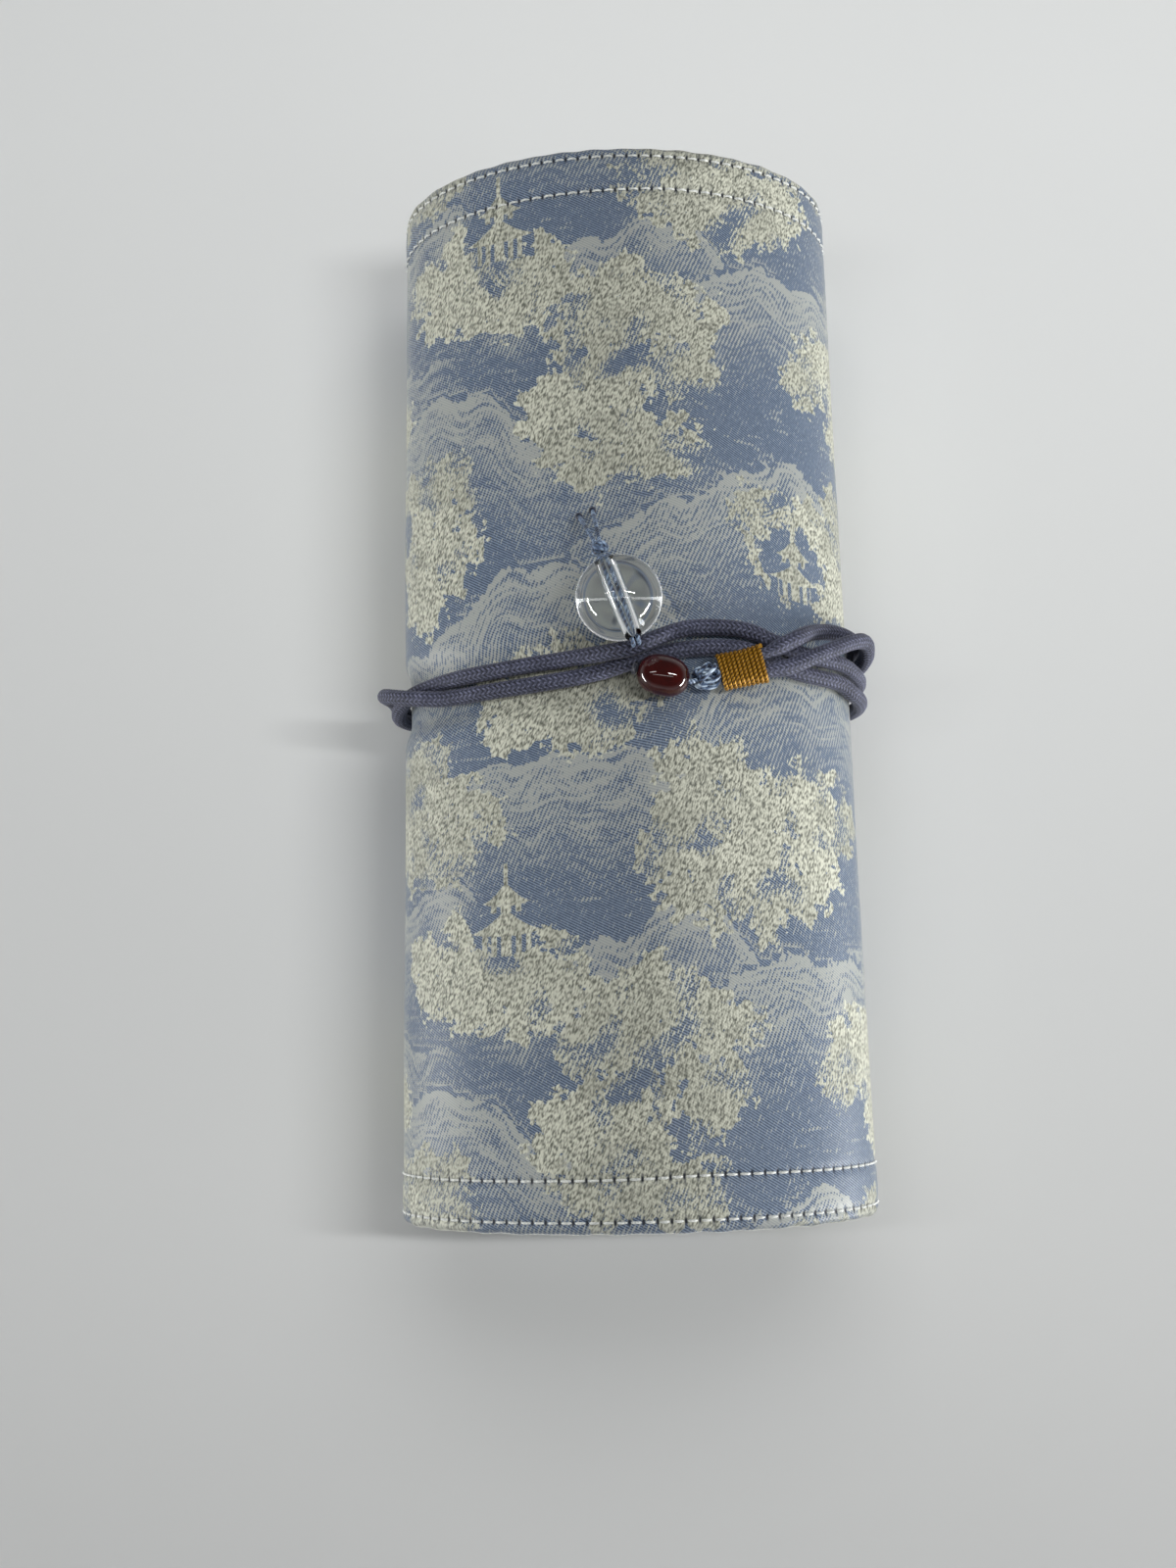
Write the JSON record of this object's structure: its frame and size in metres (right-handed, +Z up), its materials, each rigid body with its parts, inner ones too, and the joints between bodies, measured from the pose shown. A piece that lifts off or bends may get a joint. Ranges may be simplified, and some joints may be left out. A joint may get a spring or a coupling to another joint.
{
  "type": "rolled fabric case tied with a wrap cord",
  "caption": "Padded brocade fabric case rolled into a flattened roll and tied round with a doubled braided cord that carries a clear ball bead and a red bead.",
  "frame": {"origin": "under the middle of the roll, on the surface it lies on", "axes": "+Y along the roll towards the end that lies far from the camera in the picture, +Z up, +X to the picture's right"},
  "size_m": [0.0949, 0.2, 0.0666],
  "materials": {
    "brocade": "woven jacquard in blue and cream, twill ground with pebbled cream areas",
    "braid": "matt round braid",
    "gold_thread": "twisted thread wound side by side",
    "blue_thread": "smooth thread, tips melted dark",
    "carnelian": "polished stone",
    "crystal": "clear and polished"
  },
  "bodies": {
    "case": {"rolled_case": "brocade", "wrap_cord_far": "braid", "wrap_cord_near": "braid", "cord_whipping": "gold_thread", "tail_knot": "blue_thread", "tail_thread": "blue_thread", "bead_thread_left": "blue_thread", "bead_thread_right": "blue_thread", "thread_knot": "blue_thread", "thread_tail_left": "blue_thread", "thread_tail_right": "blue_thread"},
    "crystal": {"crystal_bead": "crystal"},
    "red": {"red_bead": "carnelian"}
  },
  "joints": [
    {"name": "crystal_spin", "type": "hinge", "parent": "case", "child": "crystal", "pos_m": [-0.00153, 0.0067, 0.05909], "axis": [-0.3385, 0.9339, 0.1154], "continuous": true},
    {"name": "red_spin", "type": "hinge", "parent": "case", "child": "red", "pos_m": [0.00591, -0.006, 0.05427], "axis": [-0.9673, 0.2419, 0.0767], "continuous": true}
  ]
}
